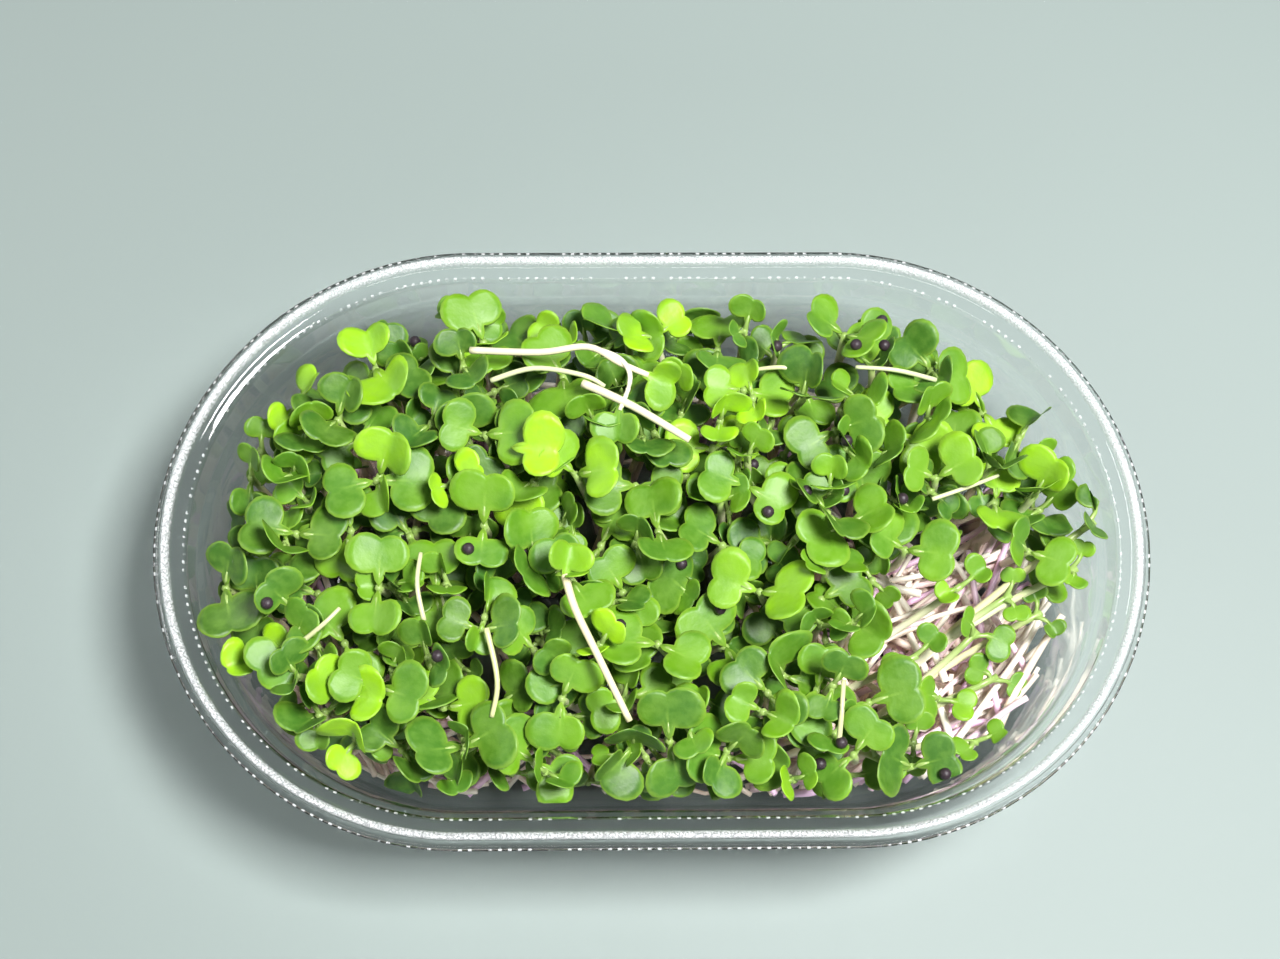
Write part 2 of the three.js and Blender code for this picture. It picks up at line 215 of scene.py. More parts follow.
def heap_height(x, y):
    edge = from_spine(x, y) / HEAP_RADIUS
    right = max(0, x - 30) / 50
    bare = math.hypot(x - BARE[0], y - BARE[1]) / BARE_FADE
    dip = math.hypot(x - DIP[0], y - DIP[1]) / DIP_REACH
    hollow = BARE_DROP * math.exp(-bare * bare) + DIP_DEPTH * math.exp(-dip * dip)
    return HEAP_TOP - HEAP_EDGE_DROP * edge ** 3 - 4 * right - hollow


class Leaf:
    def __init__(self, width, azimuth, rise, roll):
        self.width = width
        heading = np.array((math.cos(azimuth), math.sin(azimuth), 0))
        across = np.array((-math.sin(azimuth), math.cos(azimuth), 0))
        upward = np.array((0, 0, 1.0))
        self.along = math.sin(rise) * upward + math.cos(rise) * heading
        up = math.cos(rise) * upward - math.sin(rise) * heading
        self.across = math.cos(roll) * across + math.sin(roll) * up
        self.up = math.cos(roll) * up - math.sin(roll) * across

    def lobes(self, top):
        middle = top + (PETIOLE + 0.5 * LEAF_LENGTH * self.width) * self.along
        return [middle + side * 0.24 * self.width * self.across for side in (-1, 1)]


class Sprout:
    def __init__(self, random, site):
        self.site = site
        self.top, self.root = site["top"], site["root"]
        azimuth = random(0, 2 * math.pi)
        lean = random(-3, 3)
        x, y = self.top[0], self.top[1]
        outward = math.atan2(y, math.copysign(max(0.0, abs(x) - SPINE), x))
        edge = from_spine(x, y) / HEAP_RADIUS
        share = site["bow"]
        self.bow = np.array((
            (1 - share) * self.root[0] + share * x + lean,
            (1 - share) * self.root[1] + share * y - lean,
            0.45 * self.root[2] + 0.55 * self.top[2],
        ))
        width = random(*site["width"])
        self.leaves = []
        for side in (0, 1):
            heading = azimuth + side * math.pi + random(-0.35, 0.35)
            falling = 0.5 * edge * edge * math.cos(heading - outward)
            least, most, roll = site.get("tilt", LEAF_TILT)
            rise = random(math.radians(least), math.radians(most)) - falling
            roll = random(math.radians(-roll), math.radians(roll))
            share = random(0.78, 0.98) if side else 1
            leaf = Leaf(width * share, heading, rise, roll)
            leaf.fold = random(0.04, 0.3)
            leaf.curl = random(0.02, 0.22)
            self.leaves.append(leaf)
        self.centres = np.array([c for leaf in self.leaves for c in leaf.lobes(self.top)])
        self.radii = np.repeat([0.26 * leaf.width for leaf in self.leaves], 2)
        self.ups = np.repeat([leaf.up for leaf in self.leaves], 2, axis=0)
        across = np.repeat([leaf.across for leaf in self.leaves], 2, axis=0)
        along = np.repeat([leaf.along for leaf in self.leaves], 2, axis=0)
        turns = np.arange(6) * math.pi / 3
        ring = (
            np.cos(turns)[None, :, None] * across[:, None, :]
            + np.sin(turns)[None, :, None] * along[:, None, :]
        ) * self.radii[:, None, None]
        self.rims = np.concatenate(
            (self.centres[:, None, :], self.centres[:, None, :] + ring), axis=1
        )
        self.stem = np.array([self.stem_point(t) for t in (0.2, 0.4, 0.6, 0.8, 0.92)])
        self.hull = None

    def carry_husk(self, lobe):
        self.hull = self.centres[lobe] + 0.8 * self.ups[lobe]

    def stem_point(self, t):
        return (1 - t) ** 2 * self.root + 2 * t * (1 - t) * self.bow + t * t * self.top


def in_disc(points, centres, ups, radii, margin):
    away = points - centres
    height = (away * ups).sum(-1)
    flat = (away * away).sum(-1) - height * height
    return (np.abs(height) <= margin) & (flat < (radii + 0.4) ** 2)


class Neighbours:
    """The seedlings placed so far, as arrays, to count what a new one would cross."""

    def __init__(self):
        self.sprouts = []

    def add(self, sprout):
        self.sprouts.append(sprout)
        self.tops = np.array([s.top for s in self.sprouts])
        self.centres = np.array([s.centres for s in self.sprouts])
        self.radii = np.array([s.radii for s in self.sprouts])
        self.ups = np.array([s.ups for s in self.sprouts])
        self.rims = np.array([s.rims for s in self.sprouts])
        self.stems = np.array([s.stem for s in self.sprouts])
        self.bunches = np.array([s.site["bunch"] for s in self.sprouts])

    def clashes(self, sprout):
        count = 0
        for x, y, z in sprout.rims.reshape(-1, 3):
            if from_spine(x, y) > room_at(z):
                count += 5
        if not self.sprouts:
            return count
        apart = ((self.tops - sprout.top) ** 2).sum(-1)
        near = np.nonzero(apart <= NEAR ** 2)[0]
        if not len(near):
            return count
        centres, radii, ups = self.centres[near], self.radii[near], self.ups[near]
        rims, stems = self.rims[near], self.stems[near]
        mine_in = in_disc(
            sprout.rims[None, None], centres[:, :, None, None], ups[:, :, None, None],
            radii[:, :, None, None], LEAF_GAP,
        ).any(-1)
        theirs_in = in_disc(
            rims[:, :, None], sprout.centres[None, None, :, None],
            sprout.ups[None, None, :, None], sprout.radii[None, None, :, None], LEAF_GAP,
        ).any(-1)
        stem_in = in_disc(
            sprout.stem[None, None], centres[:, :, None], ups[:, :, None],
            radii[:, :, None], STEM_GAP,
        ).any(-1)
        theirs_stem = in_disc(
            stems[:, None], sprout.centres[None, :, None], sprout.ups[None, :, None],
            sprout.radii[None, :, None], STEM_GAP,
        ).any(-1)
        count += mine_in.sum() + theirs_in.sum() + stem_in.sum() + theirs_stem.sum()
        others = stems[self.bunches[near] != sprout.site["bunch"]]
        if len(others):
            gaps = ((sprout.stem[None, :, None] - others[:, None]) ** 2).sum(-1)
            count += (gaps < 5).any(-1).sum()
        return int(count)


def bunch_sites(random):
    """Three neighbours on a triangular grid, one on each level, share a root and make a bunch."""
    sites, bunch = [], 0
    row_pitch = SITE_PITCH * math.sqrt(3) / 2
    for j in range(-7, 8):
        for i in range(-14, 15):
            if (i - j) % 3:
                continue
            tops = [
                (SITE_PITCH * (p + q / 2) + 1.5, row_pitch * q - 1)
                for p, q in ((i, j), (i + 1, j), (i, j + 1))
            ]
            x, y = (sum(t[k] for t in tops) / 3 for k in (0, 1))
            out = from_spine(x, y)
            if out > HEAP_RADIUS or math.hypot(x - BARE[0], y - BARE[1]) < BARE[2]:
                continue
            pull = min(1, 33 / max(1, out))
            root_x = x * (0.5 + 0.5 * pull if abs(x) > SPINE else 1) + random(-1.5, 1.5)
            root = np.array((root_x, y * pull + random(-1.5, 1.5), 2.6))
            for level, (tx, ty) in enumerate(tops):
                px = tx + random(-1.8, 1.8)
                py = ty + random(-1.8, 1.8)
                reach = min(1, (HEAP_RADIUS + 1.5) / from_spine(px, py))
                middle = spine_x(px)
                top = np.array((middle + (px - middle) * reach, py * reach, 0.0))
                top[2] = heap_height(top[0], top[1]) - LEVEL_DROP * level + random(-1.5, 1.5)
                sites.append({
                    "bunch": bunch, "level": level, "root": root, "top": top,
                    "width": LEAF_WIDTH, "bow": BOW,
                })
            bunch += 1
    for root, tops in LEANING:
        for level, top in enumerate(tops):
            sites.append({
                "bunch": bunch, "level": level, "root": np.array(root, float),
                "top": np.array(top, float), "width": LEANING_WIDTH, "bow": LEANING_BOW,
            })
        bunch += 1
    return sites


def grow(random, site, neighbours, tries):
    best = None
    for _ in range(tries):
        sprout = Sprout(random, site)
        sprout.clashes = neighbours.clashes(sprout)
        if best is None or sprout.clashes < best.clashes:
            best = sprout
        if best.clashes == 0:
            break
    return best


def lay_out():
    random = Draw(SEED)
    sites = bunch_sites(random)
    neighbours = Neighbours()
    for level in (0, 1, 2):
        for site in sites:
            if site["level"] == level:
                neighbours.add(grow(random, site, neighbours, TRIES))
    sprouts = list(neighbours.sprouts)
    for k, sprout in enumerate(sprouts):
        if k % HULL_EVERY == 2:
            sprout.carry_husk(k % 4)
    return sprouts, neighbours


def nearest_bunch(sprouts, x, y):
    gaps = [(s.top[0] - x) ** 2 + (s.top[1] - y) ** 2 for s in sprouts]
    return sprouts[gaps.index(min(gaps))].site["bunch"]


def fill_in(sprouts, neighbours):
    """More seedlings between and under the first ones, as many as find room."""
    random = Draw(FILL_SEED)
    fills = []
    for deep, depth in enumerate(FILL_DEPTHS):
        rows = int(2 * (HEAP_RADIUS + 4) / FILL_PITCH)
        columns = int(2 * (SPINE + HEAP_RADIUS + 4) / FILL_PITCH)
        for j in range(rows):
            for i in range(columns):
                x = -(SPINE + HEAP_RADIUS + 4) + FILL_PITCH * (i + random(0, 1))
                y = -(HEAP_RADIUS + 4) + FILL_PITCH * (j + random(0, 1))
                z = heap_height(x, y) - depth + random(-2.5, 2.5)
                if from_spine(x, y) > min(HEAP_RADIUS + 3, room_at(z) - 3):
                    continue
                if math.hypot(x - BARE[0], y - BARE[1]) < BARE[2] + 3:
                    continue
                if math.hypot(x - DIP[0], y - DIP[1]) < DIP_REACH and deep < 2:
                    continue
                if math.hypot(x - THIN[0], y - THIN[1]) < THIN[2] and deep == 0:
                    continue
                pull = min(1, 33 / max(1, from_spine(x, y)))
                root = np.array((
                    x * (0.55 + 0.45 * pull) + random(-5, 5), y * pull + random(-5, 5), 2.8
                ))
                site = {
                    "bunch": nearest_bunch(sprouts, x, y), "level": 3 + deep,
                    "root": root, "top": np.array((x, y, z)), "width": FILL_WIDTH,
                    "bow": BOW, "tilt": FILL_TILT,
                }
                sprout = grow(random, site, neighbours, FILL_TRIES)
                if sprout.clashes <= deep:
                    neighbours.add(sprout)
                    fills.append(sprout)
    return fills


# Seedlings

def frame_at(point, ahead):
    ahead = ahead.normalized()
    side = Vector((0.3, 0.95, 0.1)).cross(ahead).normalized()
    turn = Matrix((side, ahead.cross(side), ahead)).transposed().to_4x4()
    return Matrix.Translation(point) @ turn


def add_tube(bm, path, radii, sides):
    """A tube through the path's points, each ring pulled out of the one before."""
    path = [Vector(p) for p in path]
    places = []
    for k, point in enumerate(path):
        ahead = path[min(k + 1, len(path) - 1)] - path[max(k - 1, 0)]
        places.append(frame_at(point, ahead) @ Matrix.Scale(radii[k], 4))
    ring = bmesh.ops.create_circle(bm, cap_ends=True, segments=sides, radius=1, matrix=places[0])
    verts = ring["verts"]
    made = list(verts)
    edges = list({e for v in verts for e in v.link_edges})
    for before, after in zip(places, places[1:]):
        pulled = bmesh.ops.extrude_edge_only(bm, edges=edges)["geom"]
        verts = [g for g in pulled if isinstance(g, bmesh.types.BMVert)]
        edges = [g for g in pulled if isinstance(g, bmesh.types.BMEdge)
                 and all(v in verts for v in g.verts)]
        bmesh.ops.transform(bm, matrix=after @ before.inverted(), verts=verts)
        made += verts
    bmesh.ops.contextual_create(bm, geom=edges)
    return made


def within_walls(place):
    """A leaf's point, pressed back where it would pass through the tray's wall."""
    z = place[2]
    return press_in(place, room_at(z) - 0.4 + 2 * max(0, z - TRAY_HEIGHT + 4))


def outline_radius(turn):
    """How far out the leaf's edge is: two round lobes and a short wedge at the stalk."""
    turn = abs(turn)
    far = math.hypot(LOBE_SIDE, LOBE_AHEAD)
    off = turn - math.atan2(LOBE_SIDE, LOBE_AHEAD)
    lobe = far * math.cos(off) + math.sqrt(max(0, LOBE_RADIUS ** 2 - (far * math.sin(off)) ** 2))
    wedge = 0.47 * math.exp(-(((math.pi - turn) / 0.36) ** 2))
    return (lobe ** 5 + wedge ** 5) ** 0.2


def add_leaf(bm, layers, sprout, leaf, tone):
    w = leaf.width
    grid = bmesh.ops.create_grid(bm, x_segments=8, y_segments=6, size=1)["verts"]
    faces = {f for v in grid for f in v.link_faces}
    for v in grid:
        x, y = v.co.x, v.co.y
        u, d = x * math.sqrt(1 - y * y / 2), y * math.sqrt(1 - x * x / 2)
        reach = math.hypot(u, d)
        edge = outline_radius(math.atan2(u, d)) if reach else 0
        v[layers["leaf"]] = Vector((u, d, reach))
        v[layers["tone"]] = tone
        uneven = 1 + 0.13 * math.sin(90 * tone + leaf.width) * u
        u, d = (u * edge * uneven, LEAF_CENTRE + d * edge * uneven)
        crease = math.sqrt(u * u + 0.0016) - 0.04
        wave = 0.014 * math.sin(5 * math.atan2(u, d - LEAF_CENTRE) + 40 * tone) * reach ** 3
        lift = leaf.fold * crease - leaf.curl * max(0, d) ** 2 + wave
        place = (
            sprout.top + (PETIOLE + d * w) * leaf.along + u * w * leaf.across + lift * w * leaf.up
        )
        v.co = within_walls(place)
    bmesh.ops.solidify(bm, geom=list(faces), thickness=LEAF_SHEET)


def add_seedling(bm, layers, sprout, tone):
    steps = 8
    path = [sprout.stem_point(k / steps) for k in range(steps + 1)]
    radii = [STEM_RADIUS * (1.02 - 0.2 * k / steps) for k in range(steps + 1)]
    for v in add_tube(bm, path, radii, 6):
        v[layers["tone"]] = tone
        v[layers["leaf"]] = Vector((0, 0, min(1, max(0, v.co.z / max(20, sprout.top[2])))))
    for leaf in sprout.leaves:
        root = sprout.stem_point(0.94)
        tip = sprout.top + (PETIOLE + 0.1 * leaf.width) * leaf.along - 0.15 * leaf.up
        bend = sprout.top + 0.35 * PETIOLE * leaf.along
        stalk = [
            (1 - t) ** 2 * root + 2 * t * (1 - t) * bend + t * t * tip for t in (0, 0.35, 0.7, 1)
        ]
        for v in add_tube(bm, stalk, [0.6, 0.56, 0.46, 0.22], 5):
            v[layers["tone"]] = tone
            v[layers["leaf"]] = Vector((0, 0, 1))
    for face in bm.faces:
        face.material_index = 1
    known = set(bm.faces)
    for leaf in sprout.leaves:
        add_leaf(bm, layers, sprout, leaf, tone)
    for face in bm.faces:
        if face not in known:
            face.material_index = 0
    if sprout.hull is not None:
        husk = bmesh.ops.create_icosphere(bm, subdivisions=2, radius=HULL_RADIUS)["verts"]
        bmesh.ops.translate(bm, vec=Vector(sprout.hull), verts=husk)
        for face in {f for v in husk for f in v.link_faces}:
            face.material_index = 2


def new_layers(bm):
    return {
        "leaf": bm.verts.layers.float_vector.new("leaf"),
        "tone": bm.verts.layers.float.new("tone"),
    }


def piece_from(bm, name, materials, nodes):
    bmesh.ops.scale(bm, vec=(MM, MM, MM), verts=bm.verts)
    mesh = bpy.data.meshes.new(name)
    for face in bm.faces:
        face.smooth = True
    bm.to_mesh(mesh)
    bm.free()
    for material in materials:
        mesh.materials.append(material)
    piece = bpy.data.objects.new(name, mesh)
    bpy.context.scene.collection.objects.link(piece)
    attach(piece, "root")
    if nodes:
        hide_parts(*nodes)


def make_seedlings(sprouts, fills, materials):
    tones = Draw(TONE_SEED)
    for k, sprout in enumerate(sprouts + fills):
        sprout.tone = tones()
        # Painted shade: the lower and deeper seedlings get a darker tone
        if sprout.site["level"] in PAINTED_SHADE_LEVELS and sprout.site["bow"] == BOW:
            sprout.tone *= PAINTED_SHADE_SCALE
        for leaf in sprout.leaves:
            if sprout.site["level"] > 2:
                leaf.fold = tones(0.05, 0.8)
                leaf.curl = tones(0, 0.4)
        if sprout.site["level"] in HUSK_LEVELS and k % HULL_EVERY == 1:
            sprout.carry_husk(k % 4)
    for bunch in sorted({s.site["bunch"] for s in sprouts + fills}):
        bm = bmesh.new()
        layers = new_layers(bm)
        for sprout in sprouts + fills:
            if sprout.site["bunch"] != bunch:
                continue
            small = bmesh.new()
            small_layers = new_layers(small)
            add_seedling(small, small_layers, sprout, sprout.tone)
            bmesh.ops.recalc_face_normals(small, faces=small.faces)
            scrap = bpy.data.meshes.new("scrap")
            small.to_mesh(scrap)
            small.free()
            bm.from_mesh(scrap)
            bpy.data.meshes.remove(scrap)
        if bunch < 0:
            piece_from(bm, "leaning_seedlings", materials, [])
        else:
            node = f"bunch_{bunch + 1:02d}"
            piece_from(bm, f"seedlings_{bunch + 1:02d}", materials, [node])


# Lying stems

def fan_paths(fan, index):
    random = Draw(SEED + 11 * (index + 1))
    x, y, z = fan["x"], fan["y"], fan["z"]
    for k in range(fan["count"]):
        spread = (fan["end"] - fan["start"]) * (k + random(0.2, 0.8)) / fan["count"]
        turn = math.radians(fan["start"] + spread)
        east, north = math.cos(turn), math.sin(turn)
        bend = random(-4, 4)
        reach = fan["reach"] * random(0.8, 1)
        while from_spine(x + reach * east, y + reach * north) > room_at(z - 1):
            reach -= 0.5
        yield [
            (
                x + reach * t * east - bend * t * (1 - t) * north - 2 * east,
                y + reach * t * north + bend * t * (1 - t) * east - 2 * north,
                z + 0.4 * math.sin(3 * t + k),
            )
            for t in (0, 0.2, 0.4, 0.6, 0.8, 1)
        ]


def make_lying_stems(material):
    tones = Draw(FAN_TONE_SEED)
    for index, fan in enumerate(STEM_FANS):
        bm = bmesh.new()
        layers = new_layers(bm)
        for path in fan_paths(fan, index):
            tone = tones()
            for v in add_tube(bm, path, FAN_RADII, 8):
                v[layers["tone"]] = tone
                v[layers["leaf"]] = Vector((0, 0, 0.1))
        bmesh.ops.recalc_face_normals(bm, faces=bm.faces)
        node = f"lying_stems_{index + 1}"
        piece_from(bm, f"loose_stems_{index + 1}", [material], [node])


def inside(x, y, z):
    """The point, drawn back towards the spine where it would touch the wall."""
    return press_in((x, y, z), room_at(z) - 1)


def tapered(radius, steps):
    return [radius * (1 - 0.2 * k / steps) for k in range(steps + 1)]


def lying_ends(x, y, z, turn, half, lift):
    """Both ends of a stem through x and y, the far one lifted."""
    east, north = half * math.cos(turn), half * math.sin(turn)
    return inside(x - east, y - north, z), inside(x + east, y + north, z + lift)


def add_loose_stem(bm, layers, start, end, bend, radius, tone):
    (x0, y0, z0), (x1, y1, z1) = start, end
    length = math.hypot(x1 - x0, y1 - y0)
    side = (-(y1 - y0) / length, (x1 - x0) / length)
    path = []
    for k in range(LOOSE_STEPS + 1):
        t = k / LOOSE_STEPS
        off = bend * 4 * t * (1 - t) + 0.12 * bend * math.sin(9 * t)
        path.append(inside(
            x0 + (x1 - x0) * t + side[0] * off, y0 + (y1 - y0) * t + side[1] * off,
            z0 + (z1 - z0) * t * t,
        ))
    for v in add_tube(bm, path, tapered(radius, LOOSE_STEPS), 7):
        v[layers["tone"]] = tone
        v[layers["leaf"]] = Vector((0, 0, 0.02 + 0.5 * max(0, v.co.z - 6) / 30))


def make_stem_bed(material):
    """Cut stems over each other at the front right, along the floor and up the left wall."""
    random = Draw(BED_SEED)
    bm = bmesh.new()
    layers = new_layers(bm)
    for k in range(STEM_BED_COUNT):
        x, y = BARE[0] - 6 + random(-26, 20), BARE[1] + 2 + random(-22, 28)
        turn = math.radians(random(12, 66) if k % 4 else random(95, 165))
        half = random(11, 25)
        z = random(3, 10) if k % 3 else random(9, 19)
        start, end = lying_ends(x, y, z, turn, half, random(0, 5))
        add_loose_stem(bm, layers, start, end, random(-3.5, 3.5), random(0.55, 0.85), random())
    for k in range(FLOOR_STEM_COUNT):
        x, y, z = random(-74, 44), random(-41, 41), random(3, 13)
        if from_spine(x, y) < 26 or (x > 25 and y < 0):
            continue
        turn = math.atan2(y, x - spine_x(x)) + math.pi / 2 + random(-0.7, 0.7)
        half = random(8, 17)
        start, end = lying_ends(x, y, z, turn, half, random(0, 6))
        add_loose_stem(bm, layers, start, end, random(-3, 3), random(0.5, 0.75), random())
    for start, end, bend in WALL_STEMS:
        add_loose_stem(bm, layers, start, end, bend, random(0.6, 0.8), random())
    bmesh.ops.recalc_face_normals(bm, faces=bm.faces)
    piece_from(bm, "stem_bed", [material], [])


def smooth(points, t):
    """A point on the curve through the given points, t from 0 to 1."""
    spans = len(points) - 1
    k = min(int(t * spans), spans - 1)
    part = t * spans - k
    a, b, c, d = (Vector(points[min(max(k + step, 0), spans)]) for step in (-1, 0, 1, 2))
    bend = (2 * a - 5 * b + 4 * c - d) * part * part + (3 * b - a - 3 * c + d) * part ** 3
    return b + 0.5 * ((c - a) * part + bend)


def make_top_stems(materials):
    """Stems lying on top of the leaves: an arched pair, a straight cut one and a long seedling."""
    random = Draw(TOP_SEED)
    bm = bmesh.new()
    layers = new_layers(bm)
    lying = list(TOP_STEMS)
    for x, y in TOP_SPOTS:
        turn, half = random(0, math.pi), random(4, 8)
        ends = []
        for side in (-1, 0, 1):
            along = side * half
            out = random(-1, 1)
            px = x + along * math.cos(turn) - out * math.sin(turn)
            py = y + along * math.sin(turn) + out * math.cos(turn)
            ends.append((px, py, heap_height(px, py) + 3.2 - 1.2 * side * side))
        lying.append((ends, random(0.4, 0.55)))
    for points, radius in lying:
        steps = 6 * (len(points) - 1)
        path = [smooth(points, k / steps) for k in range(steps + 1)]
        tone = random()
        for v in add_tube(bm, path, tapered(radius, steps), 7):
            v[layers["tone"]] = tone
            v[layers["leaf"]] = Vector((0, 0, 0.88 if radius < 0.56 else 0.7))
    for face in bm.faces:
        face.material_index = 1
    known = set(bm.faces)
    for place, width, heading, rise, roll, fold, tone in TOP_LEAVES:
        leaf = Leaf(width, math.radians(heading), math.radians(rise), math.radians(roll))
        leaf.fold, leaf.curl = fold, 0.15
        spot = SimpleNamespace(top=np.array(place) - PETIOLE * leaf.along)
        add_leaf(bm, layers, spot, leaf, tone)
    for face in bm.faces:
        if face not in known:
            face.material_index = 0
    bmesh.ops.recalc_face_normals(bm, faces=bm.faces)
    piece_from(bm, "top_stems", materials, [])


def long_seedlings(neighbours):
    """Small-leaved seedlings that lean out of the heap over the bare stems."""
    random = Draw(LONG_SEED)
    found = []
    for x, y, z in LEANING_TOPS:
        root = np.array((x - random(22, 34), y - random(10, 22), random(5, 12)))
        root = np.array(inside(*root))
        site = {
            "bunch": -1, "level": 9, "root": root, "top": np.array(inside(x, y, z)),
            "width": LONG_WIDTH, "bow": random(0.3, 0.6),
        }
        sprout = grow(random, site, neighbours, FILL_TRIES)
        neighbours.add(sprout)
        if sprout.clashes < 10:
            found.append(sprout)
    return found


# Tray

def sheet_profile():
    """The middle of the tray's sheet, from the floor's centre to the lip, as radius and height."""
    seat = TRAY_HEIGHT - SEAT_DROP
    return [
        (0.001, PANEL_LIFT + 0.35), (PANEL_RADIUS - 3, PANEL_LIFT + 0.35),
        (PANEL_RADIUS - 1.6, PANEL_LIFT + 0.25), (PANEL_RADIUS - 0.4, 0.45), (PANEL_RADIUS + 1, 0.3),
        (FLOOR_RADIUS, 0.3), (FLOOR_RADIUS + 1.8, 0.42), (FLOOR_RADIUS + 3.6, 0.95),
        (FLOOR_RADIUS + 5.2, 2), (FLOOR_RADIUS + 6.4, 3.8), (FLOOR_RADIUS + 7, 5.8),
        (FLOOR_RADIUS + 7.6, 8.2), (BEAD_RADIUS - 6.6, 28), (BEAD_RADIUS - 5.9, 31.4),
        (BEAD_RADIUS - 5.4, 32.2), (BEAD_RADIUS - 4.6, 32.8), (BEAD_RADIUS - 4.3, 33.6),
        (BEAD_RADIUS - 3.9, seat - 1.6), (BEAD_RADIUS - 3.6, seat - 0.5),
        (BEAD_RADIUS - 3.1, seat - 0.1), (BEAD_RADIUS - 1.9, seat),
        (BEAD_RADIUS - 1.3, seat + 0.3), (BEAD_RADIUS - 0.9, seat + 1.1),
        (BEAD_RADIUS - 0.5, TRAY_HEIGHT - 0.45), (BEAD_RADIUS, TRAY_HEIGHT - 0.27),
        (BEAD_RADIUS + 0.5, TRAY_HEIGHT - 0.45), (BEAD_RADIUS + 0.9, TRAY_HEIGHT - 1.1),
        (BEAD_RADIUS + 1.15, TRAY_HEIGHT - 2.2), (BEAD_RADIUS + 1.5, TRAY_HEIGHT - 2.5),
        (BEAD_RADIUS + LIP_OUT - 0.25, TRAY_HEIGHT - 2.5),
    ]


def make_tray(material):
    bm = bmesh.new()
    points = [bm.verts.new((r, 0, z)) for r, z in sheet_profile()]
    line = [bm.edges.new(pair) for pair in zip(points, points[1:])]
    bmesh.ops.rotate(bm, verts=points, matrix=Matrix.Rotation(math.pi / TRAY_STEPS, 3, "Z"))
    bmesh.ops.spin(
        bm, geom=points + line, axis=(0, 0, 1), cent=(0, 0, 0),
        angle=2 * math.pi, steps=TRAY_STEPS, use_merge=True,
    )
    for v in bm.verts:
        if abs(v.co.x) > 0.01:
            v.co.x += math.copysign(SPINE, v.co.x)
    bmesh.ops.remove_doubles(bm, verts=bm.verts, dist=0.01)
    bmesh.ops.recalc_face_normals(bm, faces=bm.faces)
    bmesh.ops.solidify(bm, geom=bm.faces, thickness=SHEET / 2)
    bmesh.ops.recalc_face_normals(bm, faces=bm.faces)
    piece_from(bm, "tray_shell", [material], ["tray"])


# Materials

class Value:
    """A node socket that can be added, taken away, multiplied and raised in an expression."""

    def __init__(self, shader, socket):
        self.shader, self.socket = shader, socket

    def _math(self, operation, *others):
        return self.shader.node("ShaderNodeMath", {"operation": operation}, self, *others)

    def _before(self, operation, other):
        return self.shader.node("ShaderNodeMath", {"operation": operation}, other, self)

    def __add__(self, other): return self._math("ADD", other)
    def __radd__(self, other): return self._math("ADD", other)
    def __sub__(self, other): return self._math("SUBTRACT", other)
    def __rsub__(self, other): return self._before("SUBTRACT", other)
    def __mul__(self, other): return self._math("MULTIPLY", other)
    def __rmul__(self, other): return self._math("MULTIPLY", other)
    def __pow__(self, other): return self._math("POWER", other)
    def __rpow__(self, other): return self._before("POWER", other)
    def sine(self): return self._math("SINE")
    def turn_from(self, other): return self._math("ARCTAN2", other)
    def absolute(self): return self._math("ABSOLUTE")
    def clamped(self, low, high): return self._math("MAXIMUM", low)._math("MINIMUM", high)

    def band(self, middle, width):
        """1 at the middle, falling to 0 at half the width to either side."""
        return 1 - ((self - middle).absolute() * (2 / width)).ramp(0.4, 1.0)

    def ramp(self, low, high):
        """0 below low, 1 above high, smooth between."""
        return self.shader.node(
            "ShaderNodeMapRange", {"interpolation_type": "SMOOTHSTEP"}, self, low, high, 0.0, 1.0
        )


class Shader:
    """One material and its node tree."""

    def __init__(self, name, **settings):
        self.material = bpy.data.materials.new(name)
        self.material.use_nodes = True
        self.tree = self.material.node_tree
        self.surface = self.tree.nodes["Principled BSDF"]
        for socket, value in settings.items():
            self.surface.inputs[socket.replace("_", " ")].default_value = value

    def node(self, kind, settings, *inputs, output=0, **named):
        made = self.tree.nodes.new(kind)
        for key, value in settings.items():
            setattr(made, key, value)
        for key, value in list(enumerate(inputs)) + list(named.items()):
            if value is None:
                continue
            socket = made.inputs[key.replace("_", " ") if isinstance(key, str) else key]
            if isinstance(value, Value):
                self.tree.links.new(value.socket, socket)
            else:
                socket.default_value = value
        return Value(self, made.outputs[output])

    def mix(self, share, first, second):
        """Two colours: the node's colour sockets come after five for numbers and vectors."""
        skipped = [None] * 5
        return self.node(
            "ShaderNodeMix", {"data_type": "RGBA"}, share, *skipped, first, second, output=2
        )

    def attribute(self, name, output):
        return self.node("ShaderNodeAttribute", {"attribute_name": name}, output=output)

    def parts(self, vector):
        split = self.node("ShaderNodeSeparateXYZ", {}, vector).socket.node
        return [Value(self, output) for output in split.outputs]

    def bump(self, strength, distance, height):
        made = self.node(
            "ShaderNodeBump", {}, Strength=strength, Distance=distance, Height=height
        )
        self.feed("Normal", made)

    def feed(self, socket, value):
        self.tree.links.new(value.socket, self.surface.inputs[socket])

    def place(self):
        return self.node("ShaderNodeTexCoord", {}, output="Object")

    def noise(self, scale, detail=2.0, where=None, **more):
        return self.node(
            "ShaderNodeTexNoise", {}, where or self.place(), None, scale, detail, **more
        )


def colour(r, g, b):
    return (r, g, b, 1)


